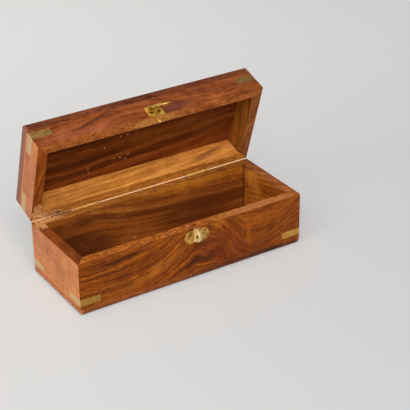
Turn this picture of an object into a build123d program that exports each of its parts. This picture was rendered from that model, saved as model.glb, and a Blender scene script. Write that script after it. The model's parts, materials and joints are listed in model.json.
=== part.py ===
from build123d import *
import os

# A long wooden box with mitred walls, inlaid brass corner straps, two hinges at the back and a
# hasp and staple at the front. All lengths are millimetres. The origin is the centre of the
# underside, X runs along the box, Y towards its back and Z up. Each piece is laid out with the lid
# shut and the flap down. At the end the lid and the flap are turned to the places where they rest.

# Box
box_length = 254.0
box_depth = 97.0
base_height = 57.0
lid_height = 34.0
wall = 10.4
bottom_panel = 7.5
top_panel = 8.6
top_plug = 2.4
corner_round = 0.8
bottom_edge_round = 4.5
top_edge_round = 1.0
rim_gap = 0.3

# How far the lid and the flap stand open at rest, in degrees
lid_open = 72.0
flap_open = 43.0

# Clearances
fit = 0.05
moving_gap = 0.3
end_play = 0.1

# Corner straps and the pins that hold them
strap_leg = 22.0
strap_thickness = 1.2
base_strap_height = 7.0
base_strap_above_panel = 3.4
lid_strap_height = 9.0
lid_strap_below_panel = 3.3
strap_pin_radius = 0.8
strap_pin_length = 6.0
strap_pin_from_end = 5.0

# Hinges
hinge_length = 28.0
hinge_from_end = 47.0
hinge_leaf_reach = 10.0
hinge_leaf_thickness = 1.1
hinge_barrel_radius = 1.55
hinge_pin_radius = 0.75
hinge_knuckles = 5
hinge_screw_from_leaf_end = 5.0
hinge_screw_from_axis = 6.2

# Hasp on the lid
latch_offset = 2.4
hasp_width = 17.0
hasp_thickness = 0.9
hasp_above_rim = 0.3
hasp_axis_above_rim = 11.8
hasp_barrel_radius = 1.6
hasp_pin_radius = 0.7
hasp_knuckles = 3
hasp_screw_spacing = 7.8
hasp_screw_above_rim = 5.4
flap_tip_width = 11.0
flap_end_bar = 4.2
flap_slot_side_play = 0.5
flap_slot_end_play = 1.0

# Staple on the base
staple_below_rim = 9.1
staple_plate_length = 28.2
staple_lobe_radius = 6.9
staple_plate_thickness = 0.8
staple_boss_width = 8.4
staple_boss_height = 14.0
staple_boss_thickness = 1.6
staple_screw_spacing = 18.0
lug_above_screws = 1.2
lug_thickness = 4.2
lug_radius = 6.8
lug_reach = 9.0
lug_tang_height = 7.0
lug_tang_depth = 5.0
padlock_hole_radius = 1.5
padlock_hole_out = 5.2

# Locating pin in the lid's rim, and its hole in the base's rim
locating_pin_offset = 3.6
locating_pin_radius = 1.4
locating_pin_out = 4.5
locating_pin_in = 7.0
locating_pin_nose = 0.8
locating_hole_play = 0.4
locating_hole_spare_depth = 1.0

# Countersunk wood screws
screw_shank_radius = 0.9
screw_head_radius = 1.8
screw_head_depth = 0.8
screw_length = 7.5
screw_tip = 1.5
screw_slot_width = 0.5
screw_slot_depth = 0.45

# Places worked out from the sizes
half_length = box_length / 2
half_depth = box_depth / 2
lid_rim = base_height + rim_gap
box_top = lid_rim + lid_height
hinge_y = half_depth - hinge_leaf_thickness + hinge_barrel_radius
hinge_z = base_height + rim_gap / 2
hasp_axis_out = hasp_barrel_radius + moving_gap
hasp_axis_z = lid_rim + hasp_axis_above_rim
staple_z = base_height - staple_below_rim
lug_z = staple_z + lug_above_screws
lid_axis = Axis((0, hinge_y, hinge_z), (-1, 0, 0))
flap_axis = Axis((0, -half_depth - hasp_axis_out, hasp_axis_z), (-1, 0, 0))
outline = RectangleRounded(box_length, box_depth, corner_round)


# A block between two values of x, of y and of z
def block(x, y, z):
    spans = [(min(pair), max(pair)) for pair in (x, y, z)]
    middle = [(low + high) / 2 for low, high in spans]
    return Pos(*middle) * Box(*[high - low for low, high in spans])


# A round rod along X, centred on the origin
def rod(radius, length):
    return Rot(0, 90, 0) * Cylinder(radius, length)


# The plane of a drawing on the front face, with its x along X, its y up and its z out of the face
def front_plane(x, z):
    return Plane(origin=(x, -half_depth, z), x_dir=(1, 0, 0), z_dir=(0, -1, 0))


# The plane of a hole that enters a vertical face of the box, where out points away from the box
def entry_plane(point, out):
    return Plane(origin=point, x_dir=(0, 0, 1), z_dir=out)


# Four walls of one part of the box, mitred where they meet
def mitred_walls(z_low, z_high):
    inside = Rectangle(box_length - 2 * wall, box_depth - 2 * wall)
    ring = Pos(0, 0, z_low) * extrude(outline - inside, z_high - z_low)
    out = wall / 2
    deep = 1.5 * wall
    outer_x, outer_y = half_length + out, half_depth + out
    inner_x, inner_y = half_length - deep, half_depth - deep
    long_wedge = Polygon((-outer_x, -outer_y), (outer_x, -outer_y), (inner_x, -inner_y),
                         (-inner_x, -inner_y), align=None)
    end_wedge = Polygon((-outer_x, outer_y), (-outer_x, -outer_y), (-inner_x, -inner_y),
                        (-inner_x, inner_y), align=None)
    front = Pos(0, 0, z_low) * extrude(long_wedge, z_high - z_low)
    left = Pos(0, 0, z_low) * extrude(end_wedge, z_high - z_low)
    turn = Rot(0, 0, 180)
    return {"front": ring & front, "back": ring & (turn * front),
            "left": ring & left, "right": ring & (turn * left)}


# A flat panel that covers the walls, with its outer edges eased on the side that z_face names
def panel(z_low, z_high, z_face, easing):
    slab = Pos(0, 0, z_low) * extrude(outline, z_high - z_low)
    eased = min(easing, 0.6 * (z_high - z_low))
    rim = slab.edges().filter_by_position(Axis.Z, z_face - 0.01, z_face + 0.01)
    return fillet(rim, eased)


# Countersunk screw with its head's face on the origin and its shank along -Z. With play it is
# the hole that the screw sits in.
def screw_body(play=0.0):
    shank = Pos(0, 0, -screw_head_depth) * Cylinder(
        screw_shank_radius + play, screw_length - screw_head_depth - screw_tip,
        align=(Align.CENTER, Align.CENTER, Align.MAX))
    tip = Pos(0, 0, -screw_length + screw_tip) * Cone(
        0.2 * screw_shank_radius + play, screw_shank_radius + play, screw_tip + play,
        align=(Align.CENTER, Align.CENTER, Align.MAX))
    head = Cone(screw_shank_radius + play, screw_head_radius + play, screw_head_depth,
                align=(Align.CENTER, Align.CENTER, Align.MAX))
    return shank + tip + head


def screw():
    slot = block((-screw_head_radius, screw_head_radius),
                 (-screw_slot_width / 2, screw_slot_width / 2), (-screw_slot_depth, 0.1))
    return screw_body() - slot


# A small pin driven flush into a face, and its hole
def strap_pin(play=0.0):
    return Cylinder(strap_pin_radius + play, strap_pin_length + play,
                    align=(Align.CENTER, Align.CENTER, Align.MAX))


# Leaf with knuckles. Its axis is X through the origin, it hangs along -Z, and +Y is away from
# the box. The leaf's inner face lies at y = face. Knuckles go to every second place from first.
def knuckled_leaf(length, reach, face, thickness, barrel, bore, places, first, own_plate=True):
    step = length / places
    shoulder = -(barrel + moving_gap)
    leaf = block((-length / 2, length / 2), (face, face + thickness), (-reach, shoulder))
    knuckles = []
    for place in range(first, places, 2):
        middle = -length / 2 + (place + 0.5) * step
        half = (step - moving_gap) / 2
        tab = block((middle - half, middle + half), (face, face + thickness),
                    (shoulder - thickness, 0))
        knuckles.append(tab + Pos(middle, 0, 0) * rod(barrel, 2 * half))
    whole = leaf + knuckles if own_plate else knuckles[0]
    return whole - rod(bore, length)


# Corner straps: each wraps one upright edge of the box
def strap(side_x, side_y, z_low, height):
    inside = Rectangle(box_length - 2 * strap_thickness, box_depth - 2 * strap_thickness)
    band = Pos(0, 0, z_low) * extrude(outline - inside, height)
    x, y = side_x * half_length, side_y * half_depth
    return band & block((x - strap_leg, x + strap_leg), (y - strap_leg, y + strap_leg),
                        (z_low, z_low + height))


# The two planes that a strap's pins enter, one in each leg
def strap_pin_planes(side_x, side_y, z):
    along = strap_leg - strap_pin_from_end
    x, y = side_x * half_length, side_y * half_depth
    return [entry_plane((x - side_x * along, y, z), (0, side_y, 0)),
            entry_plane((x, y - side_y * along, z), (side_x, 0, 0))]


# The straps and pins of one part of the box. The walls are cut for them.
def fit_straps(prefix, walls, z_low, height, nodes):
    pins = []
    for side_y, wall_y in ((-1, "front"), (1, "back")):
        for side_x, wall_x in ((-1, "left"), (1, "right")):
            piece = strap(side_x, side_y, z_low, height)
            planes = strap_pin_planes(side_x, side_y, z_low + height / 2)
            holes = [plane * strap_pin(fit) for plane in planes]
            for name, hole in zip((wall_y, wall_x), holes):
                walls[name] = walls[name] - piece - hole
            nodes[f"{prefix}_strap_{wall_y}_{wall_x}"] = piece - holes
            pins += [plane * strap_pin() for plane in planes]
    nodes[f"{prefix}_strap_pins"] = Compound(children=pins)


# One leaf of a hinge at the axis, for the base below it or for the lid above it
def hinge_leaf(x, on_lid):
    bore = hinge_pin_radius + fit
    leaf = knuckled_leaf(hinge_length, hinge_leaf_reach, -hinge_barrel_radius,
                         hinge_leaf_thickness, hinge_barrel_radius, bore,
                         hinge_knuckles, 1 if on_lid else 0)
    turn = Rot(0, 180, 0) if on_lid else Rot(0, 0, 0)
    return Pos(x, hinge_y, hinge_z) * turn * leaf


# The two planes that the screws of one leaf enter
def hinge_screw_planes(x, on_lid):
    z = hinge_z + (1 if on_lid else -1) * hinge_screw_from_axis
    out = hinge_length / 2 - hinge_screw_from_leaf_end
    return [entry_plane((x + side * out, half_depth, z), (0, 1, 0))
            for side in (-1, 1)]


# The room that a hinge takes out of the back walls
def hinge_room(x):
    length = hinge_length + 2 * end_play
    reach = hinge_leaf_reach + end_play
    leaves = block((x - length / 2, x + length / 2),
                   (half_depth - hinge_leaf_thickness, half_depth + hinge_barrel_radius),
                   (hinge_z - reach, hinge_z + reach))
    barrel = rod(hinge_barrel_radius + moving_gap, hinge_length + 2 * moving_gap)
    return leaves + Pos(x, hinge_y, hinge_z) * barrel


# Both hinges. The back walls are cut for them.
def fit_hinges(base_walls, lid_walls, base_nodes, lid_nodes):
    middle = half_length - hinge_from_end - hinge_length / 2
    screws = {False: [], True: []}
    for side, name in ((-1, "left"), (1, "right")):
        x = side * middle
        for walls in (base_walls, lid_walls):
            walls["back"] = walls["back"] - hinge_room(x)
        for on_lid, walls, nodes, word in ((False, base_walls, base_nodes, "base"),
                                           (True, lid_walls, lid_nodes, "lid")):
            planes = hinge_screw_planes(x, on_lid)
            holes = [plane * screw_body(fit) for plane in planes]
            walls["back"] = walls["back"] - holes
            nodes[f"hinge_{name}_{word}_leaf"] = hinge_leaf(x, on_lid) - holes
            screws[on_lid] += [plane * screw() for plane in planes]
        base_nodes[f"hinge_{name}_pin"] = Pos(x, hinge_y, hinge_z) * rod(hinge_pin_radius,
                                                                        hinge_length)
    base_nodes["hinge_base_screws"] = Compound(children=screws[False])
    lid_nodes["hinge_lid_screws"] = Compound(children=screws[True])


# Hasp plate, its pin and its screws on the lid's front
def fit_hasp(lid_walls, lid_nodes):
    plate = knuckled_leaf(hasp_width, hasp_axis_above_rim - hasp_above_rim, -hasp_axis_out,
                          hasp_thickness, hasp_barrel_radius, hasp_pin_radius + fit,
                          hasp_knuckles, 0)
    place = Pos(latch_offset, -half_depth - hasp_axis_out, hasp_axis_z) * Rot(0, 0, 180)
    planes = [front_plane(latch_offset + side * hasp_screw_spacing / 2,
                          lid_rim + hasp_screw_above_rim).offset(hasp_thickness)
              for side in (-1, 1)]
    holes = [plane * screw_body(fit) for plane in planes]
    lid_walls["front"] = lid_walls["front"] - holes
    lid_nodes["hasp_plate"] = place * plate - holes
    lid_nodes["hasp_pin"] = place * rod(hasp_pin_radius, hasp_width)
    lid_nodes["hasp_screws"] = Compound(children=[plane * screw() for plane in planes])


# The flap that swings on the hasp's pin. Its slot drops over the staple's lug.
def hasp_flap():
    to_lug = hasp_axis_z - lug_z
    slot_length = 2 * (lug_radius + flap_slot_end_play)
    slot_width = lug_thickness + 2 * flap_slot_side_play
    reach = to_lug + slot_length / 2 + flap_end_bar
    tip_radius = flap_tip_width / 2
    shoulder = hasp_barrel_radius + moving_gap
    root_depth = 2 * hasp_barrel_radius
    root = Pos(0, -shoulder - root_depth / 2) * Rectangle(hasp_width, root_depth)
    tip = Pos(0, -(reach - tip_radius)) * Circle(tip_radius)
    slot = Pos(0, -to_lug) * RectangleRounded(slot_width, slot_length, slot_width / 4)
    sheet = make_hull((root + tip).edges()) - slot
    face = Plane(origin=(0, -hasp_barrel_radius + hasp_thickness, 0), x_dir=(1, 0, 0),
                 z_dir=(0, -1, 0))
    plate = extrude(face * sheet, hasp_thickness)
    knuckle = knuckled_leaf(hasp_width, shoulder + root_depth,
                            hasp_barrel_radius - hasp_thickness, hasp_thickness,
                            hasp_barrel_radius, hasp_pin_radius + fit, hasp_knuckles, 1,
                            own_plate=False)
    whole = plate + Rot(0, 0, 180) * knuckle
    return Pos(latch_offset, -half_depth - hasp_axis_out, hasp_axis_z) * whole


# Staple plate, lug and screws on the base's front
def fit_staple(base_walls, base_nodes):
    face = front_plane(latch_offset, staple_z)
    lobe_x = staple_plate_length / 2 - staple_lobe_radius
    shape = Rectangle(2 * lobe_x, staple_boss_height / 2)
    for side in (-1, 1):
        shape += Pos(side * lobe_x, 0) * Circle(staple_lobe_radius)
    boss = RectangleRounded(staple_boss_width, staple_boss_height, staple_boss_width / 4)
    lug_face = front_plane(latch_offset, lug_z)
    plate = extrude(face * shape, staple_plate_thickness) + extrude(lug_face * boss,
                                                                    staple_boss_thickness)
    tang = block((-lug_thickness / 2, lug_thickness / 2),
                 (-lug_tang_height / 2, lug_tang_height / 2),
                 (-lug_tang_depth, staple_boss_thickness + lug_radius / 4))
    disc = Pos(0, 0, lug_reach - lug_radius) * rod(lug_radius, lug_thickness)
    eye = disc & block((-lug_thickness, lug_thickness), (-lug_radius, lug_radius),
                       (staple_boss_thickness, lug_reach))
    hole = Pos(0, 0, padlock_hole_out) * rod(padlock_hole_radius, 2 * lug_thickness)
    lug = lug_face * (eye + tang - hole)
    planes = [face.offset(staple_plate_thickness) * Pos(side * staple_screw_spacing / 2, 0, 0)
              for side in (-1, 1)]
    holes = [plane * screw_body(fit) for plane in planes]
    base_walls["front"] = base_walls["front"] - holes - lug
    base_nodes["staple_plate"] = plate - holes - lug
    base_nodes["staple_lug"] = lug
    base_nodes["staple_screws"] = Compound(children=[plane * screw() for plane in planes])


# Pin under the lid's front rim, and the hole that it drops into
def fit_locating_pin(base_walls, lid_walls, lid_nodes):
    middle_y = -half_depth + wall / 2
    length = locating_pin_in + locating_pin_out
    pin = Pos(0, 0, (locating_pin_in - locating_pin_out) / 2) * Cylinder(locating_pin_radius,
                                                                        length)
    nose = pin.edges().group_by(Axis.Z)[0]
    pin = chamfer(nose, min(locating_pin_nose, 0.8 * locating_pin_radius))
    socket = Cylinder(locating_pin_radius + fit, locating_pin_in,
                      align=(Align.CENTER, Align.CENTER, Align.MIN))
    depth = locating_pin_out - rim_gap + locating_hole_spare_depth
    hole = Cylinder(locating_pin_radius + locating_hole_play, depth,
                    align=(Align.CENTER, Align.CENTER, Align.MAX))
    lid_place = Pos(locating_pin_offset, middle_y, lid_rim)
    lid_nodes["locating_pin"] = lid_place * pin
    lid_walls["front"] = lid_walls["front"] - lid_place * socket
    base_walls["front"] = base_walls["front"] - Pos(locating_pin_offset, middle_y,
                                                    base_height) * hole


# Put the box together with the lid shut
base_nodes = {}
lid_nodes = {}
base_walls = mitred_walls(bottom_panel, base_height)
lid_walls = mitred_walls(lid_rim, box_top - top_panel)
fit_straps("base", base_walls, bottom_panel + base_strap_above_panel, base_strap_height,
           base_nodes)
fit_straps("lid", lid_walls, box_top - top_panel - lid_strap_below_panel - lid_strap_height,
           lid_strap_height, lid_nodes)
fit_hinges(base_walls, lid_walls, base_nodes, lid_nodes)
fit_hasp(lid_walls, lid_nodes)
fit_staple(base_walls, base_nodes)
fit_locating_pin(base_walls, lid_walls, lid_nodes)
for side, board in base_walls.items():
    base_nodes[f"base_{side}"] = board
for side, board in lid_walls.items():
    lid_nodes[f"lid_{side}"] = board
base_nodes["base_bottom"] = panel(0, bottom_panel, 0, bottom_edge_round)
plug = block((wall + fit - half_length, half_length - wall - fit),
             (wall + fit - half_depth, half_depth - wall - fit),
             (box_top - top_panel - top_plug, box_top - top_panel))
lid_nodes["lid_top"] = panel(box_top - top_panel, box_top, box_top, top_edge_round) + plug
flap = hasp_flap().rotate(flap_axis, flap_open)

# Turn the lid and what it carries to its rest, and write every piece
moved = {name: piece.rotate(lid_axis, lid_open) for name, piece in lid_nodes.items()}
moved["hasp_flap"] = flap.rotate(lid_axis, lid_open)
os.makedirs("parts", exist_ok=True)
for name, piece in {**base_nodes, **moved}.items():
    export_step(piece, f"parts/{name}.step")
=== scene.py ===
import json
import math
import random
import bpy
from mathutils import Matrix, Vector


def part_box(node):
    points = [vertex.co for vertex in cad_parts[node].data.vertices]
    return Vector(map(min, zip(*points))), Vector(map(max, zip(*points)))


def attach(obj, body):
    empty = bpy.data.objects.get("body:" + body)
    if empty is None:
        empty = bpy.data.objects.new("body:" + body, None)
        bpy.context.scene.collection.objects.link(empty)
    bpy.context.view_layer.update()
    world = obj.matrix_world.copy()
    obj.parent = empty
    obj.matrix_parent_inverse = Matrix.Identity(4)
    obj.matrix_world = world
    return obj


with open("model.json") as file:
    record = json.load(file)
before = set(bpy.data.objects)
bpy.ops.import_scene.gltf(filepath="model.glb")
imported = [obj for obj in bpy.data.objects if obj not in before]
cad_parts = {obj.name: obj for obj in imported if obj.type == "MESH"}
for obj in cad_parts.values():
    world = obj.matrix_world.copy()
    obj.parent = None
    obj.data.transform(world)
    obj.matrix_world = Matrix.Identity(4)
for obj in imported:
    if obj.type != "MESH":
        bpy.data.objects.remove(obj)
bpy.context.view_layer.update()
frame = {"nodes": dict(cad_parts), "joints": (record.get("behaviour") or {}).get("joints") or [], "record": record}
nodes = frame["nodes"]
lidJoint = next(joint for joint in frame["joints"] if joint["name"] == "lid_hinge")
lidOpen = math.radians(-lidJoint["range_deg"][0])  # how far the lid stands open at rest
hingeAt = Vector(lidJoint["pos_m"])
print("frame loaded")


def tone(code):  # a colour as it is seen, such as "8a4a1c", in the light values that shaders take
    parts = [int(code[i:i + 2], 16) / 255 for i in (0, 2, 4)]
    light = [p / 12.92 if p <= 0.04045 else ((p + 0.055) / 1.055) ** 2.4 for p in parts]
    return (*light, 1.0)


class Wire:  # an output of a node; sums and products of wires add their own nodes
    def __init__(self, owner, socket):
        self.owner = owner
        self.socket = socket

    def join(self, operation, first, second):
        wires = [w for w in (first, second) if isinstance(w, Wire)]
        if all(w.socket.type == "VALUE" for w in wires):
            return self.owner.node("ShaderNodeMath", {"operation": operation}, {0: first, 1: second})
        sides = [w if isinstance(w, Wire) else (w, w, w) for w in (first, second)]
        return self.owner.node("ShaderNodeVectorMath", {"operation": operation},
                               {0: sides[0], 1: sides[1]})

    def __add__(self, other):
        return self.join("ADD", self, other)

    def __radd__(self, other):
        return self.join("ADD", other, self)

    def __sub__(self, other):
        return self.join("SUBTRACT", self, other)

    def __rsub__(self, other):
        return self.join("SUBTRACT", other, self)

    def __mul__(self, other):
        return self.join("MULTIPLY", self, other)

    def __rmul__(self, other):
        return self.join("MULTIPLY", other, self)

    def __truediv__(self, other):
        return self.join("DIVIDE", self, other)

    def __rtruediv__(self, other):
        return self.join("DIVIDE", other, self)

    def __pow__(self, other):
        return self.join("POWER", self, other)

    def __rpow__(self, other):
        return self.join("POWER", other, self)

    def of(self, operation, *others):  # any other Math operation on this value
        return self.owner.node("ShaderNodeMath", {"operation": operation},
                               {0: self, **{i + 1: other for i, other in enumerate(others)}})

    def rise(self, low, high):  # 0 below low, 1 above high and smooth between; high may be the lower
        return self.owner.node("ShaderNodeMapRange", {"interpolation_type": "SMOOTHSTEP"},
                               {"Value": self, "From Min": low, "From Max": high})

    def held(self):  # kept between 0 and 1
        return self.owner.node("ShaderNodeClamp", {}, {"Value": self})


class Nodes:  # the nodes of one tree; node() takes the node's type, its settings and its sockets
    def __init__(self, tree):
        self.tree = tree
        tree.nodes.clear()

    def node(self, kind, settings=None, sockets=None, output=0):
        made = self.tree.nodes.new(kind)
        for key, value in (settings or {}).items():
            setattr(made, key, value)
        for key, value in (sockets or {}).items():
            if isinstance(value, Wire):
                self.tree.links.new(value.socket, made.inputs[key])
            else:
                made.inputs[key].default_value = value
        return Wire(self, made.outputs[output]) if made.outputs else None

    def split(self, vector):
        made = self.tree.nodes.new("ShaderNodeSeparateXYZ")
        self.tree.links.new(vector.socket, made.inputs[0])
        return [Wire(self, output) for output in made.outputs]

    def vector(self, x, y, z):
        return self.node("ShaderNodeCombineXYZ", {}, {0: x, 1: y, 2: z})

    def noise(self, at, detail=2.0, roughness=0.5):  # about 0.5, one lump a unit
        return self.node("ShaderNodeTexNoise", {"noise_dimensions": "3D"},
                         {"Vector": at, "Scale": 1.0, "Detail": detail, "Roughness": roughness})

    def blend(self, share, first, second, way="MIX"):  # colours
        return self.node("ShaderNodeMix",
                         {"data_type": "RGBA", "blend_type": way, "clamp_factor": True},
                         {0: share, 6: first, 7: second}, output=2)


class Finish(Nodes):  # one material
    def __init__(self, name):
        self.material = bpy.data.materials.new(name)
        self.material.use_nodes = True
        super().__init__(self.material.node_tree)

    def close(self, shader, height, reach):  # the shader's sockets, and how far its bumps stand
        bump = self.node("ShaderNodeBump", {}, {"Strength": 1.0, "Distance": reach, "Height": height})
        return self.end(self.node("ShaderNodeBsdfPrincipled", {}, {**shader, "Normal": bump}))

    def end(self, surface):
        self.node("ShaderNodeOutputMaterial", {}, {"Surface": surface})
        return self.material


def give(material, *names):
    for name in names:
        slots = nodes[name].data.materials
        slots.clear()
        slots.append(material)


# softened edges: the faces of a CAD mesh are joined again along its edges, which are then rounded

edges = {"joinWithin": 2e-6, "sharpAbove": 32, "roundAbove": 38, "rings": 2}  # metres and degrees


def joinedFaces():
    tree = bpy.data.node_groups.new("joinedFaces", "GeometryNodeTree")
    tree.interface.new_socket("Geometry", in_out="INPUT", socket_type="NodeSocketGeometry")
    tree.interface.new_socket("Geometry", in_out="OUTPUT", socket_type="NodeSocketGeometry")
    steps = Nodes(tree)
    bare = steps.node("GeometryNodeRemoveAttribute", {},
                      {"Geometry": steps.node("NodeGroupInput"), "Name": "custom_normal"})
    merged = steps.node("GeometryNodeMergeByDistance", {},
                        {"Geometry": bare, "Distance": edges["joinWithin"]})
    smooth = steps.node("GeometryNodeSetShadeSmooth", {}, {"Geometry": merged})
    steep = steps.node("FunctionNodeCompare", {"operation": "GREATER_THAN"},
                       {0: steps.node("GeometryNodeInputMeshEdgeAngle"),
                        1: math.radians(edges["sharpAbove"])})
    sharp = steps.node("GeometryNodeSetShadeSmooth", {"domain": "EDGE"},
                       {"Geometry": smooth, "Selection": steep, "Shade Smooth": False})
    steps.node("NodeGroupOutput", {}, {0: sharp})
    return tree


joinGroup = joinedFaces()


def easeEdges(name, width):
    piece = nodes[name]
    joined = piece.modifiers.new("joined", "NODES")
    joined.node_group = joinGroup
    eased = piece.modifiers.new("eased", "BEVEL")
    eased.width = width
    eased.segments = edges["rings"]
    eased.limit_method = "ANGLE"
    eased.angle_limit = math.radians(edges["roundAbove"])
    eased.use_clamp_overlap = False
    eased.loop_slide = False
    eased.harden_normals = True


# wood: each board has its own figure, placed as it lies with the lid shut, in metres

frontLow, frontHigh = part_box("base_front")
rimGap = 0.0003  # between the base's rim and the lid's when the lid is shut
boxSize = {"length": frontHigh.x - frontLow.x, "depth": -2 * frontLow.y, "baseHeight": frontHigh.z,
           "lidRim": frontHigh.z + rimGap, "shutHeight": 0.0913}
faceAt = {"front": -boxSize["depth"] / 2, "back": boxSize["depth"] / 2,
          "left": -boxSize["length"] / 2, "right": boxSize["length"] / 2}


def boardPlace(finish, onLid):
    at = finish.node("ShaderNodeTexCoord", output="Object")
    if onLid:
        at = finish.node("ShaderNodeVectorRotate", {"rotation_type": "X_AXIS"},
                         {"Vector": at, "Center": tuple(hingeAt), "Angle": lidOpen})
    return finish.split(at)


def rimLevel(board):
    return boxSize["lidRim" if board["onLid"] else "baseHeight"]


def halfLong(board):  # from a board's middle to its ends
    return boxSize["depth" if board["lies"] == "end" else "length"] / 2


# at an edge: where its tone begins and where it is full, in metres from the edge, and its strength
edgeBands = {"corner": (0.0014, 0.0002, 1.0), "underRim": (0.0014, 0.0004, 1.0),
             "panelEnd": (0.0040, 0.0002, 1.0), "foot": (0.0034, 0.0012, 0.8),
             "shadedInnerCorner": (0.0022, 0.0004, 0.6), "inner": (0.0012, 0.0002, 1.0),
             "rim": (0.0005, 0.0002, 1.0)}


def edgeShare(kind, distance):
    begins, full, strength = edgeBands[kind]
    return distance.rise(begins, full) * strength


# a patch is a soft oval: its middle along and across the board, half sizes, tilt and strength, and
# then a tone where it has one

def hump(along, across, patch):
    fromAlong = along - patch[0]
    fromAcross = across - patch[1] - patch[4] * fromAlong
    return ((fromAlong / patch[2]) ** 2 + (fromAcross / patch[3]) ** 2).of("MULTIPLY", -1).of("EXPONENT")


climbReach = 0.13  # the curve below runs this far each way from a board's middle


def climb(finish, along, points):  # how far the grain's lines climb along a board
    wide = 2 * climbReach
    made = finish.tree.nodes.new("ShaderNodeFloatCurve")
    curve = made.mapping.curves[0]
    places = [((x + climbReach) / wide, 0.5 + y / wide) for x, y in points]
    curve.points[0].location, curve.points[-1].location = places[0], places[-1]
    for place in places[1:-1]:
        curve.points.new(*place)
    made.mapping.update()
    finish.tree.links.new(((along + climbReach) / wide).socket, made.inputs["Value"])
    return (Wire(finish, made.outputs[0]) - 0.5) * wide


# each pattern in the wood: how often it changes in a metre along, across and through the board, then
# its step of the seed, detail and roughness
patterns = {
    "wander": (11, 28, 28, 0, 2.0, 0.5),
    "ripple": (75, 130, 130, 0, 2.0, 0.5),
    "cloud": (70, 60, 60, 0, 3.0, 0.6),
    "fleck": (500, 1400, 1400, 0, 2.0, 0.6),
    "flicker": (420, 70, 70, 1, 2.0, 0.6),
    "broad": (5, 120, 9, 0, 2.0, 0.5),
    "bands": (9, 290, 20, 5, 2.5, 0.55),
    "veins": (6, 330, 12, 9, 2.0, 0.5),
    "fine": (26, 640, 60, 3, 2.0, 0.6),
    "fibre": (130, 1000, 400, 0, 3.0, 0.62),
    "pores": (240, 2300, 1500, 0, 1.0, 0.5),
    "ragged": (260, 300, 300, 0, 3.0, 0.65),
}

# where on a pattern its tone begins and where it is full
shares = {"bands": (0.34, 0.66), "broad": (0.44, 0.68), "innerBroad": (0.42, 0.66),
          "veins": (0.56, 0.66), "pores": (0.66, 0.76), "wash": (0.15, 0.8), "speck": (0.3, 0.7),
          "flicker": (0.46, 0.62), "rim": (0.34, 0.66), "rimBands": (0.45, 0.7), "torn": (0.38, 0.62),
          "worn": (0.38, 0.66)}

# a ring darkens at once, fades over the rest of its step and shows in some bands only; washes and
# streaks have frayed edges; where a tint darkens, blue falls most and green less
figureLook = {"ringSway": 1.6, "ringDarkens": (0.0, 0.1), "ringFades": (0.0, 0.7),
              "ringShows": (0.36, 0.56), "washFray": 0.5, "streakCore": 1.5, "streakFray": 0.9,
              "flecks": 0.4, "tintGreen": 1.2, "tintBlue": 1.5}

# a sawn rim: how often its slanting marks and its grain change in a metre, and how strong they are
rimLook = {"marksAlong": 520, "marksSlant": 260, "marksThrough": 210, "grainAlong": 45,
           "grainThrough": 900, "grainUp": 300, "bands": 0.5, "cover": 0.95, "rougher": 0.18,
           "relief": 0.8}

# a worn place: how often its torn fibres change in a metre, and how far and how raggedly it spreads
wornLook = {"fibresAlong": 260, "fibresThrough": 1500, "spread": 1.35, "ragged": 1.8,
            "rougher": 0.2, "relief": 1.6}

# the wood's surface: how rough it is and what makes it rougher, then what its bumps are made of
surfaceLook = {"rough": 0.42, "cloudRough": 0.2, "poreRough": 0.3, "innerRough": 0.08,
               "poreShare": 0.5, "fibreHeight": 0.4, "poreDepth": 0.5, "fleckHeight": 0.3,
               "reach": 0.00014}


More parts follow.
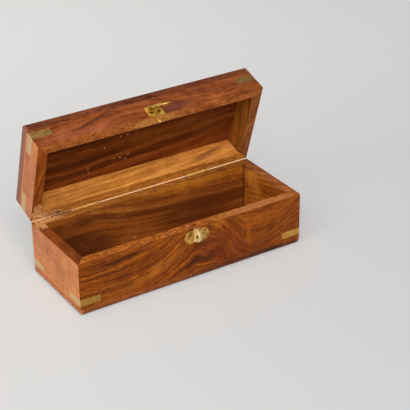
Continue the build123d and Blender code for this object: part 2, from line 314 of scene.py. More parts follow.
class Grain:  # the wires that all the finishes of one board share; line is the grain's own level
    def __init__(self, finish, board):
        x, y, z = boardPlace(finish, board["onLid"])
        self.finish = finish
        self.seed = board["seed"]
        self.along, self.across, self.thick = {"wide": (x, z, y), "end": (y, z, x),
                                               "flat": (x, y, z)}[board["lies"]]
        self.line = self.grainLevel(board)
        self.cloud, self.fleck = (self.lumps(*patterns[kind]) for kind in ("cloud", "fleck"))
        self.broad, self.bands, self.veins, self.fine, self.fibre, self.pores = (
            self.streaks(kind) for kind in ("broad", "bands", "veins", "fine", "fibre", "pores"))
        phase = (self.line * board["rings"] + self.broad * figureLook["ringSway"]).of("FRACT")
        faded = 1 - phase.rise(*figureLook["ringFades"])
        self.ring = (faded * phase.rise(*figureLook["ringDarkens"])
                     * self.bands.rise(*figureLook["ringShows"]))
        self.glow = self.shine(board["mottle"], board["lines"], board["fibre"])

    def grainLevel(self, board):
        line = self.across + (self.thick - board["face"]) * board["lean"] - self.along * board["slope"]
        if board["climb"]:
            line = line - climb(self.finish, self.along, board["climb"])
        for curl in board["curls"]:
            line = line - hump(self.along, self.across, curl) * curl[5]
        for *knot, strength, often in board["tangles"]:
            tangle = self.lumps(often, often, often, 2, 3.0, 0.6) - 0.5
            line = line + tangle * hump(self.along, self.across, knot) * strength
        wander, ripple = (self.lumps(*patterns[kind]) - 0.5 for kind in ("wander", "ripple"))
        return line + wander * board["wander"] + ripple * board["ripple"]

    def shine(self, mottle, lines, fibre):  # a tint about 1 that lightens and darkens a tone
        glow = ((self.cloud - 0.5) * mottle + (self.fine - 0.5) * lines
                + (self.fibre - 0.5) * fibre + (self.fleck - 0.5) * figureLook["flecks"] + 1.0)
        return self.finish.vector(glow, glow ** figureLook["tintGreen"], glow ** figureLook["tintBlue"])

    def lumps(self, alongOften, acrossOften, thickOften, seedStep, detail, roughness):
        at = self.finish.vector(self.along * alongOften + (self.seed + seedStep),
                                self.across * acrossOften, self.thick * thickOften)
        return self.finish.noise(at, detail, roughness)

    def streaks(self, kind):  # a pattern that follows the grain
        alongOften, lineOften, thickOften, seedStep, detail, roughness = patterns[kind]
        at = self.finish.vector(self.along * alongOften + (self.seed + seedStep),
                                self.line * lineOften, self.thick * thickOften)
        return self.finish.noise(at, detail, roughness)

    def wash(self, colour, patches):
        for patch in patches:
            oval = hump(self.along, self.across, patch) + (self.cloud - 0.5) * figureLook["washFray"]
            colour = self.finish.blend(oval.rise(*shares["wash"]) * patch[5], colour, tone(patch[6]))
        return colour

    def specks(self, across, colour, dots):
        for dot in dots:
            share = hump(self.along, across, dot).rise(*shares["speck"]) * dot[5]
            colour = self.finish.blend(share, colour, tone(dot[6]))
        return colour


def outerTone(grain, board):
    blend = grain.finish.blend
    vein = tone(board["vein"])
    body = blend(grain.bands.rise(*shares["bands"]), tone(board["pale"]), tone(board["body"]))
    body = grain.wash(body, board["washes"])
    body = blend(grain.broad.rise(*shares["broad"]) * board["broad"], body, tone(board["deep"]))
    body = blend(grain.ring * board["ringing"], body, tone(board["deep"]))
    body = blend(grain.veins.rise(*shares["veins"]) * board["veining"], body, vein)
    for streak in board["streaks"]:  # single dark streaks, with fibrous edges
        core = hump(grain.along, grain.line, streak)
        fray = (grain.fibre - 0.5) * figureLook["streakFray"] * core
        body = blend((core * figureLook["streakCore"] + fray).held() * streak[5], body, vein)
    for seam in board["seams"]:  # pale flickers that stand across the grain
        band = hump(grain.along, grain.across, seam)
        often = patterns["flicker"]
        at = grain.finish.vector(grain.along * often[0] + often[3], grain.across * often[1],
                                 grain.thick * often[2])
        flicker = grain.finish.noise(at, *often[4:]).rise(*shares["flicker"])
        body = blend(flicker * band * seam[5], body, tone(board["pale"]))
    body = panelEdges(grain, board, body) if board["lies"] == "flat" else wallEdges(grain, board, body)
    body = blend(1.0, body, grain.glow, "MULTIPLY")
    return grain.specks(grain.across, body, board["dots"])


def wallEdges(grain, board, body):  # painted shade: darker along the corners and beside the rim, where the eased edges and the gap at the rim are shaded
    corner = edgeShare("corner", halfLong(board) - grain.along.of("ABSOLUTE"))
    underRim = edgeShare("underRim", (grain.across - rimLevel(board)).of("ABSOLUTE"))
    return grain.finish.blend(corner.of("MAXIMUM", underRim) * board["corners"], body,
                              tone(board["vein"]))


def panelEdges(grain, board, body):  # a panel's ends get a painted highlight on their eased edges, and the bottom's edge on the floor gets painted shade
    ends = edgeShare("panelEnd", halfLong(board) - grain.along.of("ABSOLUTE"))
    body = grain.finish.blend(ends, body, tone(board["endSheen"]))
    if board["onLid"]:
        return body
    return grain.finish.blend(edgeShare("foot", grain.thick), body, tone(board["footShade"]))


def innerTone(grain, board):
    blend = grain.finish.blend
    inner = blend(grain.bands.rise(*shares["bands"]), tone(board["innerPale"]),
                  tone(board["innerBody"]))
    inner = blend(grain.broad.rise(*shares["innerBroad"]) * board["innerBroad"], inner,
                  tone(board["innerDeep"]))
    inner = grain.wash(inner, board["innerWashes"])
    if board["lies"] != "flat":  # painted shade: the corners inside are darker
        innerHalf = halfLong(board) - board["thickness"]
        shadedInnerCorner = edgeShare("shadedInnerCorner", innerHalf - grain.along.of("ABSOLUTE"))
        inner = blend(shadedInnerCorner, inner, tone(board["innerCornerShade"]))
    glow = grain.shine(board["innerMottle"], board["innerLines"], board["innerFibre"])
    inner = blend(1.0, inner, glow, "MULTIPLY")
    return grain.specks(grain.across, inner, board["innerDots"])


class Rim:  # a wall's rim: its share of the surface, its saw marks, and what they do to a finish
    def __init__(self, grain, board):
        self.grain = grain
        self.board = board
        self.share = edgeShare("rim", (grain.across - rimLevel(board)).of("ABSOLUTE"))
        slanting = grain.along * rimLook["marksAlong"] + grain.thick * rimLook["marksSlant"]
        through = grain.thick * rimLook["marksThrough"] + grain.seed
        self.marks = grain.finish.noise(grain.finish.vector(slanting, through, 0.0), 3.0, 0.65)

    def sawn(self, body, rough, height):  # rougher, with saw marks across it
        grain, board, blend = self.grain, self.board, self.grain.finish.blend
        at = grain.finish.vector(grain.along * rimLook["grainAlong"],
                                 grain.thick * rimLook["grainThrough"] + grain.seed,
                                 grain.across * rimLook["grainUp"])
        grainy = grain.finish.noise(at, 3.0, 0.6)
        figure = self.marks * board["sawn"] + grainy * (1 - board["sawn"])
        bare = blend(figure.rise(*shares["rim"]), tone(board["rimPale"]), tone(board["rimBody"]))
        bare = blend(grain.bands.rise(*shares["rimBands"]) * rimLook["bands"], bare,
                     tone(board["rimDeep"]))
        bare = blend(1.0, bare, grain.glow, "MULTIPLY")
        bare = grain.specks(grain.thick, bare, board["rimDots"])
        return (blend(self.share * rimLook["cover"], body, bare),
                rough + self.share * rimLook["rougher"],
                height + self.share * self.marks * rimLook["relief"])

    def worn(self, patch, body, rough, height):  # a ragged place where the finish is torn away
        grain, finish = self.grain, self.grain.finish
        often = patterns["ragged"]
        at = finish.vector(grain.along * often[0], grain.thick * often[1],
                           grain.across * often[2] + grain.seed)
        ragged = finish.noise(at, *often[4:])
        edge = (hump(grain.along, grain.thick, patch) * wornLook["spread"]
                + (ragged - 0.5) * wornLook["ragged"])
        bare = edge.rise(*shares["worn"]) * self.share
        fibres = finish.vector(grain.along * wornLook["fibresAlong"],
                               grain.thick * wornLook["fibresThrough"], 0.0)
        torn = finish.noise(fibres, 3.0, 0.6)
        bareTone = finish.blend(torn.rise(*shares["torn"]), tone(patch[6]), tone(patch[7]))
        return (finish.blend(bare * patch[5], body, bareTone), rough + bare * wornLook["rougher"],
                height + bare * (torn - 0.5) * wornLook["relief"])


def woodFinish(name, board):
    finish = Finish(name)
    grain = Grain(finish, board)
    look = surfaceLook
    pore = grain.pores.rise(*shares["pores"]) * look["poreShare"]
    depth = (grain.thick - board["face"]).of("ABSOLUTE")
    inner = edgeShare("inner", board["thickness"] - depth)  # the inner face has its own tone
    body = finish.blend(inner, outerTone(grain, board), innerTone(grain, board))
    rough = (look["rough"] + (grain.cloud - 0.5) * look["cloudRough"] + pore * look["poreRough"]
             + inner * look["innerRough"])
    height = (grain.fibre * look["fibreHeight"] - grain.pores * look["poreDepth"]
              + grain.fleck * look["fleckHeight"])
    if board["lies"] != "flat":
        rim = Rim(grain, board)
        body, rough, height = rim.sawn(body, rough, height)
        for patch in board["worn"]:
            body, rough, height = rim.worn(patch, body, rough, height)
    body = finish.blend(pore, body, tone(board["pore"]))
    return finish.close({"Base Color": body, "Roughness": rough, "Specular IOR Level": board["gloss"]},
                        height, look["reach"])


# palettes that the boards share: the insides, then the rims

gold = {"innerPale": "b8762c", "innerBody": "95581c", "innerDeep": "5f3010", "innerWashes": [],
        "innerBroad": 0.6, "innerLines": 0.5, "innerMottle": 0.7, "innerFibre": 0.9,
        "innerDots": [], "innerCornerShade": "38180a"}
redRim = {"sawn": 0.8, "rimPale": "b06a34", "rimBody": "8c4a1e", "rimDeep": "5e2c0e", "rimDots": []}
darkRim = {**redRim, "sawn": 0.15, "rimPale": "904816", "rimBody": "6c2e08", "rimDeep": "481c04"}
goldRim = {**redRim, "sawn": 0.5, "rimPale": "bd7a36", "rimBody": "9c5c22", "rimDeep": "6e3a12"}
tornTones = ("e6ae70", "ae713c")

# a board's figure: how its grain leans, slopes, wanders and ripples; climb has points (along, up);
# curls and tangles are patches whose strength is in metres, and a tangle has how often it changes
# too; streaks, seams, washes, dots and worn places are patches whose strength is a share
plain = {"thickness": 0.0104, "lean": 0.35, "slope": 0.0, "wander": 0.008, "ripple": 0.0026,
         "climb": [], "curls": [], "tangles": [], "streaks": [], "seams": [], "dots": [],
         "washes": [], "worn": [], "corners": 0.45, "broad": 0.7, "veining": 0.6,
         "rings": 230.0, "ringing": 0.6, "mottle": 0.7, "lines": 1.0, "fibre": 1.6,
         "gloss": 0.08, "pore": "200a04", "onLid": False, **gold, **redRim}
endGrain = {"lies": "end", "lean": 0.2, "veining": 0.15, "ringing": 0.0, "broad": 0.4, "mottle": 0.9,
            "lines": 0.15, "fibre": 0.6, "corners": 0.15}

# places of the pale specks on the lid's inner face
paleSpecksAt = [(-0.0385, 0.000), (-0.0545, 0.023), (-0.0525, 0.029), (-0.0255, 0.018), (-0.0185, 0.019),
          (-0.0095, 0.017), (-0.0115, 0.023), (-0.0215, -0.010), (-0.0135, -0.010)]

boards = {
    "base_front": {**plain, "face": faceAt["front"], "lies": "wide", "seed": 3.1, "wander": 0.007,
                   "ripple": 0.0032, "rings": 270.0, "ringing": 0.35, "broad": 0.35,
                   "veining": 0.35, "lines": 0.9, "fibre": 2.1, "mottle": 0.8,
                   "pale": "a8580e", "body": "803a06", "deep": "5e2804", "vein": "341404",
                   "climb": [(-0.127, 0.0), (-0.070, 0.002), (-0.040, 0.009), (-0.010, 0.025),
                             (0.010, 0.034), (0.030, 0.026), (0.050, 0.002), (0.062, -0.006),
                             (0.127, 0.010)],
                   "curls": [(0.038, 0.028, 0.010, 0.008, 0.0, 0.008),
                             (0.012, 0.022, 0.007, 0.011, -0.3, -0.009)],
                   "tangles": [(0.036, 0.032, 0.022, 0.026, 0.0, 0.011, 210),
                               (0.038, 0.030, 0.024, 0.028, 0.0, 0.008, 460)],
                   "streaks": [(-0.082, 0.0462, 0.026, 0.0022, 0.0, 0.8),
                               (-0.070, 0.0275, 0.030, 0.0014, 0.0, 0.4),
                               (-0.100, 0.0365, 0.025, 0.0016, 0.0, 0.5),
                               (-0.110, 0.0500, 0.016, 0.0012, 0.0, 0.5),
                               (0.004, -0.0080, 0.022, 0.0040, 0.0, 0.7),
                               (0.006, 0.0040, 0.016, 0.0014, 0.0, 0.6)],
                   "seams": [(0.062, 0.033, 0.005, 0.020, 0.0, 0.6)],
                   "washes": [(0.092, 0.028, 0.040, 0.040, 0.0, 0.6, "984c12"),
                              (-0.045, 0.024, 0.030, 0.007, 0.30, 0.6, "bc6c22"),
                              (0.036, 0.024, 0.034, 0.024, -0.2, 0.65, "762e10"),
                              (0.060, 0.010, 0.040, 0.008, 0.1, 0.5, "6e3010"),
                              (0.026, 0.052, 0.007, 0.005, 0.0, 0.6, "c06c18"),
                              (0.002, 0.018, 0.014, 0.006, 0.7, 0.35, "582a1a"),
                              (-0.100, 0.016, 0.045, 0.010, 0.0, 0.5, "864812")],
                   "worn": [(0.075, -0.0435, 0.045, 0.0050, 0.0, 0.5, "cc9058", "a86c3a")],
                   "rimPale": "c07030", "rimBody": "964a14", "rimDeep": "682c06",
                   "rimDots": [(-0.098, -0.0425, 0.0016, 0.0006, 0.0, 0.8, "e8c49c"),
                               (-0.091, -0.0440, 0.0012, 0.0006, 0.0, 0.8, "e8c49c"),
                               (-0.027, -0.0420, 0.0010, 0.0006, 0.0, 0.7, "e0b488"),
                               (-0.019, -0.0440, 0.0010, 0.0008, 0.0, 0.7, "e0b488"),
                               (-0.004, -0.0430, 0.0012, 0.0008, 0.0, 0.7, "dcae80"),
                               # the last rim dot darkens the locating pin's hole with painted shade
                               (0.004, -0.0425, 0.0010, 0.0010, 0.0, 0.8, "5a2c14")]},
    "base_back": {**plain, **goldRim, "face": faceAt["back"], "lies": "wide", "seed": 7.7,
                  "slope": -0.03, "wander": 0.005,
                  "pale": "a05420", "body": "824014", "deep": "5b280c", "vein": "341406",
                  "climb": [(-0.127, 0.0), (-0.09, 0.003), (-0.06, 0.006), (-0.03, 0.001),
                            (0.03, -0.004), (0.127, -0.006)],
                  "innerPale": "a45a20", "innerBody": "844418", "innerDeep": "5a2a0e",
                  "innerBroad": 0.65, "innerLines": 0.7,
                  "innerDots": [(-0.018, 0.0115, 0.0006, 0.0012, 0.0, 0.9, "dcb890"),
                                (-0.036, 0.0410, 0.0012, 0.0009, 0.0, 0.7, "c07838")],
                  # of the inner washes, the first is painted light along the top, the second is the left wall's
                  # painted shadow low on the left, and the fourth is painted shade low on the right; the rest are
                  # figure
                  "innerWashes": [(0.050, 0.060, 0.085, 0.013, -0.04, 0.8, "cc7c22"),
                                  (-0.080, 0.020, 0.050, 0.015, -0.1, 0.7, "481f12"),
                                  (-0.075, 0.046, 0.045, 0.010, 0.1, 0.4, "6c3416"),
                                  (0.060, 0.020, 0.060, 0.016, 0.0, 0.7, "58280f"),
                                  (-0.040, 0.049, 0.040, 0.003, -0.2, 0.7, "b06c2a"),
                                  (-0.045, 0.039, 0.022, 0.0015, -0.3, 0.6, "94562a"),
                                  (0.000, 0.041, 0.030, 0.0020, -0.15, 0.4, "a4642a")],
                  "worn": [(-0.112, 0.0438, 0.020, 0.0036, 0.0, 1.0, *tornTones)]},
    # the left end's pale pink tones are partly the wood's own and partly a painted sheen of the light from the
    # left
    "base_left": {**plain, **endGrain, **darkRim, "face": faceAt["left"], "seed": 11.3, "slope": 0.05,
                  "pale": "d6864e", "body": "cc7a46", "deep": "bc6c40", "vein": "a45634",
                  "washes": [(-0.030, 0.030, 0.020, 0.030, 0.0, 0.5, "d68a4c"),
                             (0.036, 0.045, 0.018, 0.016, 0.0, 0.5, "c87f58")],
                  "dots": [(0.016, 0.041, 0.0010, 0.0010, 0.0, 0.8, "4a2010")],
                  "worn": [(0.0400, -0.1205, 0.010, 0.0060, 0.0, 1.0, *tornTones)]},
    "base_right": {**plain, "face": faceAt["right"], "lies": "end", "seed": 15.9, "slope": -0.25,
                   "pale": "ac6224", "body": "8e4a18", "deep": "65300f", "vein": "3c1808",
                   "innerPale": "d07e28", "innerBody": "aa5a18", "innerDeep": "6a300c",
                   "innerWashes": [(0.022, 0.044, 0.016, 0.012, 0.3, 0.55, "e0903a")],
                   "innerDots": [(0.020, 0.0535, 0.0030, 0.0012, 0.0, 0.7, "e8b070")]},
    "lid_front": {**plain, "face": faceAt["front"], "lies": "wide", "onLid": True, "seed": 21.4,
                  "wander": 0.006, "ringing": 0.1, "veining": 0.25, "broad": 0.4, "mottle": 1.2,
                  "lines": 0.7,
                  "pale": "9a5226", "body": "86421c", "deep": "683014", "vein": "462014",
                  "climb": [(-0.127, 0.0), (-0.100, 0.001), (-0.070, 0.005), (-0.040, 0.014),
                            (-0.010, 0.015), (0.020, 0.008), (0.060, 0.003), (0.127, 0.0)],
                  "streaks": [(-0.062, 0.0645, 0.022, 0.0016, 0.0, 0.7)],
                  "washes": [(0.026, 0.0635, 0.018, 0.0060, 0.1, 0.65, "4e2a2a"),
                             (-0.085, 0.0630, 0.040, 0.0080, 0.0, 0.5, "a8583a"),
                             (0.055, 0.0760, 0.020, 0.0040, 0.0, 0.4, "6a3424")],
                  "rimPale": "c67236", "rimBody": "9e521e", "rimDeep": "6e340a",
                  "worn": [(0.000, -0.0430, 0.026, 0.0060, 0.0, 0.85, "eaa254", "a8662c")],
                  "rimDots": [(0.024, -0.0430, 0.0060, 0.0030, 0.0, 0.6, "8a5a38"),
                              (0.038, -0.0420, 0.0040, 0.0030, 0.0, 0.5, "74482c"),
                              (0.008, -0.0450, 0.0020, 0.0010, 0.0, 0.6, "6a401c")]},
    "lid_back": {**plain, **goldRim, "face": faceAt["back"], "lies": "wide", "onLid": True, "seed": 25.2,
                 "slope": 0.05, "innerBroad": 0.5, "innerLines": 0.5,
                 "innerPale": "ee9f4c", "innerBody": "d48538", "innerDeep": "a4602a",
                 "rimPale": "e69a40", "rimBody": "c87a30", "rimDeep": "985822",
                 "innerWashes": [(0.085, 0.070, 0.022, 0.0030, 0.2, 0.7, "844a28"),
                                 (0.070, 0.064, 0.030, 0.0025, 0.1, 0.5, "96582c"),
                                 (-0.085, 0.072, 0.030, 0.0020, 0.0, 0.4, "8e5428")],
                 "pale": "a4581f", "body": "864415", "deep": "602c0d", "vein": "381606",
                 "worn": [(-0.113, 0.0435, 0.018, 0.0040, 0.0, 1.0, *tornTones)]},
    # the left end's pale pink tones are partly the wood's own and partly a painted sheen of the light from the
    # left
    "lid_left": {**plain, **endGrain, **darkRim, "face": faceAt["left"], "onLid": True, "seed": 29.8,
                 "slope": -0.08, "pale": "d28656", "body": "c87a4e", "deep": "b06440", "vein": "924e32",
                 "rimPale": "ac5816", "rimBody": "863c08", "rimDeep": "582404",
                 "washes": [(-0.036, 0.064, 0.018, 0.010, 0.0, 0.6, "de8e50")],
                 "worn": [(0.0400, -0.1205, 0.012, 0.0060, 0.0, 1.0, *tornTones)]},
    "lid_right": {**plain, "face": faceAt["right"], "lies": "end", "onLid": True, "seed": 33.5,
                  "slope": -0.10, "pale": "a4581f", "body": "864415", "deep": "602c0d", "vein": "381606",
                  "innerPale": "bc742a", "innerBody": "98581e", "innerDeep": "5c320e"},
    # the bottom's end tone is a painted highlight on its eased ends, and its foot tone is painted shade along its
    # edge on the floor
    "base_bottom": {**plain, "face": 0.0, "thickness": 0.0075, "lies": "flat", "seed": 41.0,
                    "slope": -0.03, "pale": "964e22", "body": "7a3c1a", "deep": "542812",
                    "vein": "30140c", "endSheen": "c87a4a", "footShade": "5a2e1a",
                    "innerPale": "9a5826", "innerBody": "7c421a", "innerDeep": "542a12"},
    # the top's end tone is a painted highlight on its eased ends
    "lid_top": {**plain, "face": boxSize["shutHeight"], "thickness": 0.0110, "lies": "flat",
                "onLid": True, "seed": 45.6, "slope": -0.06, "broad": 0.4, "veining": 0.2,
                "pale": "804226", "body": "6c361e", "deep": "502616", "vein": "361a10",
                "endSheen": "9c6450", "innerPale": "98501e", "innerBody": "763612",
                "innerDeep": "50240e", "innerLines": 0.5, "innerBroad": 0.75, "wander": 0.014,
                "innerWashes": [(-0.075, -0.012, 0.050, 0.004, 0.05, 0.5, "46200f"),
                                (-0.065, 0.012, 0.050, 0.004, -0.05, 0.5, "4a2210"),
                                (0.040, 0.002, 0.080, 0.010, 0.03, 0.5, "8e4a1a")],
                "innerDots": [(x, y, 0.0009, 0.0006, 0.0, 1.0, "ffd8a0") for x, y in paleSpecksAt]},
}

woodEdge = 0.00016
for name, board in boards.items():
    give(woodFinish("wood_" + name, board), name)
    easeEdges(name, woodEdge)
print("wood finished")


# brass: old dull strips, a bright yellow hasp, a browner staple and lightly used hinges; a shade is
# another tone at a distance from a middle: the middle, where it starts and is full, strength, tone

plainBrass = {"metallic": 1.0, "roughness": 0.3, "tarnish": 0.5, "edge": 0.00012, "blotch": 240,
              "shades": []}
# the strips' legs on the box's ends are paler: a painted sheen of the raking light
strapBrass = {**plainBrass, "bright": "b28434", "dull": "946a28", "stain": "5c421a", "seed": 2.0,
              "roughness": 0.4, "metallic": 0.5, "shades": [(0.0, 0.1266, 0.1268, 0.85, "e2b882")]}
padlockHole = next(m for m in frame["record"]["mounts"] if m["name"] == "padlock_hole")
latchX, holeY, holeZ = padlockHole["pos_m"]

# what all the brass shares, and how far the painted shade in the padlock hole reaches from its edge, in metres
brassLook = {"spotsOften": 900, "drawnAlong": 160, "drawnAcross": 5200, "dulls": (0.40, 0.62),
             "stains": (0.58, 0.70), "holeShadeReach": (0.0003, 0.0001), "evenAt": 0.4,
             "mottleRough": 0.3, "drawnRough": 0.08, "mottleHeight": 0.6, "drawnHeight": 0.25,
             "reach": 0.00008}
brasses = {
    "base_strap_brass": {**strapBrass, "of": [n for n in nodes if n.startswith("base_strap")],
                         "shades": [(0.115, 0.014, 0.012, 0.45, "dca64a")] + strapBrass["shades"]},
    "lid_strap_brass": {**strapBrass, "bright": "a27a34", "dull": "866228", "seed": 4.0,
                        "of": ["lid_strap_front_left", "lid_strap_back_left", "lid_strap_back_right",
                               "lid_strap_pins"]},
    "dull_strap_brass": {**strapBrass, "bright": "8c662c", "dull": "724e20", "stain": "4a3214",
                         "seed": 3.0, "roughness": 0.45, "of": ["lid_strap_front_right"]},
    "hasp_brass": {**plainBrass, "bright": "ffde6a", "dull": "c8942a", "stain": "5c400c", "seed": 9.0,
                   "metallic": 0.7, "tarnish": 0.6, "edge": 0.00014,
                   "of": ["hasp_plate", "hasp_flap", "hasp_pin", "locating_pin"]},
    "staple_brass": {**plainBrass, "bright": "d8a44c", "dull": "926826", "stain": "4a300f", "seed": 13.0,
                     "metallic": 0.7, "tarnish": 0.7, "blotch": 300,
                     "shades": [(latchX - 0.0006, 0.0036, 0.0028, 0.85, "f4dca6")],
                     "of": ["staple_plate", "staple_screws"]},
    # the lug is a brighter copy of the brass, a painted highlight where its face turns to the light on the left;
    # away from that face it is painted shade
    "lug_brass_painted_light": {**plainBrass, "bright": "fae2ac", "dull": "e6c27c", "stain": "9a7434", "seed": 17.0,
                  "metallic": 0.4, "roughness": 0.34, "edge": 0.0004, "tarnish": 0.4,
                  "shades": [(latchX - 0.0021, 0.0003, 0.0026, 0.9, "b08844")],
                  "holeShade": "140a04", "of": ["staple_lug"]},
    "screw_brass": {**plainBrass, "bright": "8a6418", "dull": "6a480e", "stain": "2c1c04", "seed": 21.0,
                    "of": ["hasp_screws"]},
    "hinge_brass": {**plainBrass, "bright": "ffcf74", "dull": "dca24c", "stain": "6e4820", "seed": 5.0,
                    "metallic": 0.5, "edge": 0.0001,
                    "of": [n for n in nodes if n.startswith("hinge_")]},
}


def brassFinish(name, metal):
    finish = Finish(name)
    look = brassLook
    at = finish.node("ShaderNodeTexCoord", output="Object")
    mottle = finish.noise(at * metal["blotch"] + metal["seed"], 4.0, 0.62)
    spots = finish.noise(at * look["spotsOften"] + metal["seed"], 2.0)
    x, y, z = finish.split(at)
    drawn = finish.noise(finish.vector(x * look["drawnAlong"], y * look["drawnAcross"],
                                       z * look["drawnAcross"]), 2.0)
    colour = finish.blend(mottle.rise(*look["dulls"]), tone(metal["bright"]), tone(metal["dull"]))
    for middle, low, high, share, shade in metal["shades"]:
        colour = finish.blend((x - middle).of("ABSOLUTE").rise(low, high) * share, colour, tone(shade))
    stained = spots.rise(*look["stains"]) * metal["tarnish"]
    colour = finish.blend(stained, colour, tone(metal["stain"]))
    if "holeShade" in metal:  # painted shade: the padlock's hole is dark inside
        holeRadius = padlockHole["dims"]["r_mm"] / 1000
        away = ((y - holeY) ** 2 + (z - holeZ) ** 2) ** 0.5
        holeShade = (away - holeRadius).rise(*look["holeShadeReach"])
        colour = finish.blend(holeShade, colour, tone(metal["holeShade"]))
    rough = (metal["roughness"] + (mottle - look["evenAt"]) * look["mottleRough"]
             + drawn * look["drawnRough"])
    return finish.close({"Base Color": colour, "Metallic": metal["metallic"], "Roughness": rough},
                        mottle * look["mottleHeight"] + drawn * look["drawnHeight"], look["reach"])


for name, metal in brasses.items():
    give(brassFinish(name, metal), *metal["of"])
    for piece in metal["of"]:
        easeEdges(piece, metal["edge"])
print("brass finished")


# fibres: along the base's back edge they stand in the slit under the lid, clear of its path, pale as a painted
# highlight in the slit and dark by the left hinge as painted shade; at the back left corner they are raw fibres
# lying on the lid's rim

frays = {
    "corner_splinters": {"body": "base", "onLid": False, "seed": 4, "count": 120,
                         "width": (0.0002, 0.0004), "length": (0.0015, 0.0050),
                         "height": (0.00036, 0.00051),
                         "outward": (0.00030, 0.00050), "back": (0.00005, 0.00012),
                         "stretches": [(-0.1265, -0.0810), (-0.1265, -0.0810), (-0.0510, -0.0450)]},
    "edge_splinters": {"body": "base", "onLid": False, "seed": 6, "count": 150,
                       "width": (0.0002, 0.0004), "length": (0.0030, 0.0080),
                       "height": (0.00040, 0.00051),
                       "outward": (0.00030, 0.00050), "back": (0.00005, 0.00012),
                       "stretches": [(-0.0460, 0.0500), (-0.0460, 0.0500), (0.0810, 0.1265)]},
    "lid_splinters": {"body": "lid", "onLid": True, "seed": 5, "count": 40,
                      "width": (0.0003, 0.0007), "length": (0.0020, 0.0070),
                      "height": (0.00004, 0.00010),
                      "outward": (0.0, 0.0), "back": (0.0004, 0.0060),
                      "stretches": [(-0.1255, -0.0900)]},
}
# how far a sliver strays, as a share of its width, how deep its foot is sunk, in metres, and how much
# of its length each end takes to taper
sliver = {"stray": 0.04, "sunk": 0.00006, "taper": 0.2}


def meshPiece(name, points, faces):
    mesh = bpy.data.meshes.new(name)
    mesh.from_pydata(points, [], faces)
    piece = bpy.data.objects.new(name, mesh)
    bpy.context.scene.collection.objects.link(piece)
    return piece


def splinters(name, fray):  # each sliver is a low ridge that lies along the rim
    pick = random.Random(fray["seed"])
    level, turn = (boxSize["lidRim"], -1) if fray["onLid"] else (boxSize["baseHeight"], 1)
    backEdge = boxSize["depth"] / 2
    points, faces = [], []
    for _ in range(fray["count"]):
        first, last = pick.choice(fray["stretches"])
        length, width, height, out, back = (pick.uniform(*fray[key]) for key in
                                            ("length", "width", "height", "outward", "back"))
        start = Vector((pick.uniform(first, last - length), backEdge - back - width / 2, level))
        way = Vector((length, pick.uniform(-sliver["stray"], sliver["stray"]) * width, 0))
        side = Vector((0, width / 2, 0))
        foot = Vector((0, 0, -sliver["sunk"] * turn))
        ridge = Vector((0, back + width / 2 + out if out else 0, height * turn))
        corners = [start - side + foot, start + side + foot, start + way + side + foot,
                   start + way - side + foot, start + way * sliver["taper"] + ridge,
                   start + way * (1 - sliver["taper"]) + ridge]
        at = len(points)
        points += corners
        ridgeFaces = [(0, 3, 2, 1), (0, 4, 5, 3), (1, 2, 5, 4), (0, 1, 4), (3, 5, 2)]
        faces += [tuple(at + i for i in face[::turn]) for face in ridgeFaces]
    if fray["onLid"]:
        opening = Matrix.Rotation(-lidOpen, 3, "X")
        points = [hingeAt + opening @ (point - hingeAt) for point in points]
    piece = meshPiece(name, points, faces)
    piece.data.materials.append(tornWood)
    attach(piece, fray["body"])


# painted shade: the fibres are dark along one stretch of the edge by the left hinge, between darkLeft and
# darkRight
tornLook = {"paleFibreAndHighlight": "fad090", "dark": "34190c", "fuzzAlong": 300, "fuzzAcross": 1600,
            "darkens": (0.34, 0.46), "darkLeft": (-0.118, -0.104), "darkRight": (-0.046, -0.056),
            "roughness": 0.8, "gloss": 0.1, "reach": 0.0001}


def tornFinish(look):
    finish = Finish("torn_wood")
    x, y, z = finish.split(finish.node("ShaderNodeTexCoord", output="Object"))
    fuzz = finish.noise(finish.vector(x * look["fuzzAlong"], y * look["fuzzAcross"],
                                      z * look["fuzzAcross"]), 3.0, 0.6)
    dark = fuzz.rise(*look["darkens"]) * x.rise(*look["darkRight"]) * x.rise(*look["darkLeft"])
    colour = finish.blend(dark, tone(look["paleFibreAndHighlight"]), tone(look["dark"]))
    return finish.close({"Base Color": colour, "Roughness": look["roughness"],
                         "Specular IOR Level": look["gloss"]}, fuzz, look["reach"])


tornWood = tornFinish(tornLook)
for name, fray in frays.items():
    splinters(name, fray)
print("splinters made")


# floor, lamps, backdrop and camera

# painted shade and light: the floor's colour is turned as the view is; it is painted darker to the right and
# lighter farther off, as the lamps' light falls off
floorLook = {"reach": 6.0, "squares": 8, "colour": "e2e0de", "rightShade": "d2d1d0",
             "grit": "d2d2d2", "gritOften": 30, "gritShare": 0.05, "cosine": 0.85, "sine": 0.53,
             "darkens": (-0.35, 0.45), "lightens": (0.1, 0.65), "fartherLight": 0.10,
             "evenness": 0.35, "roughness": 0.7, "gloss": 0.2}


def floorPiece(reach, steps):  # a flat sheet of squares at the floor's level
    places = [reach * (2 * i / steps - 1) for i in range(steps + 1)]
    points = [(x, y, 0.0) for y in places for x in places]
    wide = steps + 1
    faces = [(r * wide + c, r * wide + c + 1, (r + 1) * wide + c + 1, (r + 1) * wide + c)
             for r in range(steps) for c in range(steps)]
    return meshPiece("floor", points, faces)


def seenRay(tree):  # 1 for what the camera sees, straight or in metal or glass
    rays = [tree.node("ShaderNodeLightPath", output=kind)
            for kind in ("Is Camera Ray", "Is Glossy Ray", "Is Transmission Ray")]
    return rays[0].of("MAXIMUM", rays[1]).of("MAXIMUM", rays[2])


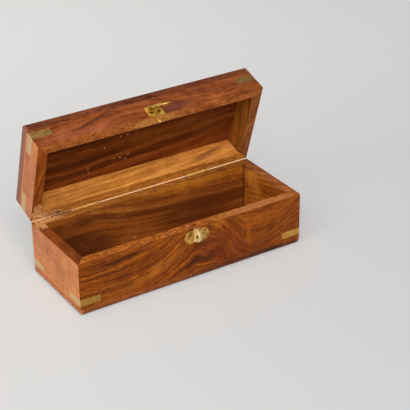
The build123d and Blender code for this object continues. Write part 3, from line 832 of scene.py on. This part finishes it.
def paperFinish(look):
    finish = Finish("paper")
    at = finish.node("ShaderNodeTexCoord", output="Object")
    x, y, z = finish.split(at)
    grit = finish.noise(at * look["gritOften"], 2.0) * look["gritShare"]
    rightward = (x * look["cosine"] - y * look["sine"]).rise(*look["darkens"])
    fartherLight = (x * look["sine"] + y * look["cosine"]).rise(*look["lightens"])
    paper = finish.blend(rightward, tone(look["colour"]), tone(look["rightShade"]))
    paper = paper * (1 + fartherLight * look["fartherLight"])
    lit = finish.node("ShaderNodeBsdfPrincipled", {}, {
        "Base Color": finish.blend(grit, paper, tone(look["grit"])),
        "Roughness": look["roughness"], "Specular IOR Level": look["gloss"]})
    even = finish.node("ShaderNodeEmission", {}, {"Color": paper, "Strength": 1.0})
    share = seenRay(finish) * look["evenness"]
    return finish.end(finish.node("ShaderNodeMixShader", {}, {0: share, 1: lit, 2: even}))


floor = floorPiece(floorLook["reach"], floorLook["squares"])
floor.data.materials.append(paperFinish(floorLook))

lamps = {
    "key": {"place": (-4.2, -1.2, 3.7), "size": 3.0, "power": 90.0, "colour": "ffffff"},
    "front": {"place": (-1.7, -3.8, 4.2), "size": 3.4, "power": 238.0, "colour": "ffffff"},
    "top": {"place": (-0.4, 0.3, 5.4), "size": 4.0, "power": 56.0, "colour": "ffffff"},
}
aimAt = (0, 0, 0.06)
for name, lamp in lamps.items():
    light = bpy.data.lights.new(name, "AREA")
    light.shape = "SQUARE"
    light.size = lamp["size"]
    light.energy = lamp["power"]
    light.color = tone(lamp["colour"])[:3]
    holder = bpy.data.objects.new(name, light)
    holder.location = lamp["place"]
    aim = Vector(aimAt) - Vector(lamp["place"])
    holder.rotation_euler = aim.to_track_quat("-Z", "Y").to_euler()
    bpy.context.scene.collection.objects.link(holder)

backdrop = {"colour": "d9d9d9", "lit": 0.42, "overhead": 0.5, "dimsFrom": 0.15, "dimsOver": 0.75}
world = bpy.data.worlds.new("studio")
world.use_nodes = True
bpy.context.scene.world = world
sky = Nodes(world.node_tree)
height = sky.split(sky.node("ShaderNodeTexCoord", output="Generated"))[2]
dimmed = ((height - backdrop["dimsFrom"]) / backdrop["dimsOver"]).held() * (1 - backdrop["overhead"])
strength = (backdrop["lit"] + seenRay(sky) * (1 - backdrop["lit"])) * (1 - dimmed)
shine = sky.node("ShaderNodeBackground", {}, {"Color": tone(backdrop["colour"]), "Strength": strength})
sky.node("ShaderNodeOutputWorld", {}, {"Surface": shine})

lens = {"place": (-0.60608, -1.02674, 0.70368), "azimuth": -32.317, "elevation": 28.377, "roll": -0.626,
        "length": 119.76, "sensor": 36.0}
az, el, roll = (math.radians(lens[key]) for key in ("azimuth", "elevation", "roll"))
back = Vector((math.sin(az) * math.cos(el), -math.cos(az) * math.cos(el), math.sin(el)))
right = Vector((math.cos(az), math.sin(az), 0.0))
up = back.cross(right)
axes = (right * math.cos(roll) + up * math.sin(roll), up * math.cos(roll) - right * math.sin(roll), back)
view = bpy.data.cameras.new("view")
view.lens = lens["length"]
view.sensor_width = lens["sensor"]
camera = bpy.data.objects.new("view", view)
camera.matrix_world = Matrix.Translation(lens["place"]) @ Matrix(axes).transposed().to_4x4()
bpy.context.scene.collection.objects.link(camera)
bpy.context.scene.camera = camera
bpy.context.scene.view_settings.view_transform = "Standard"
print("stage set")

bpy.context.view_layer.update()
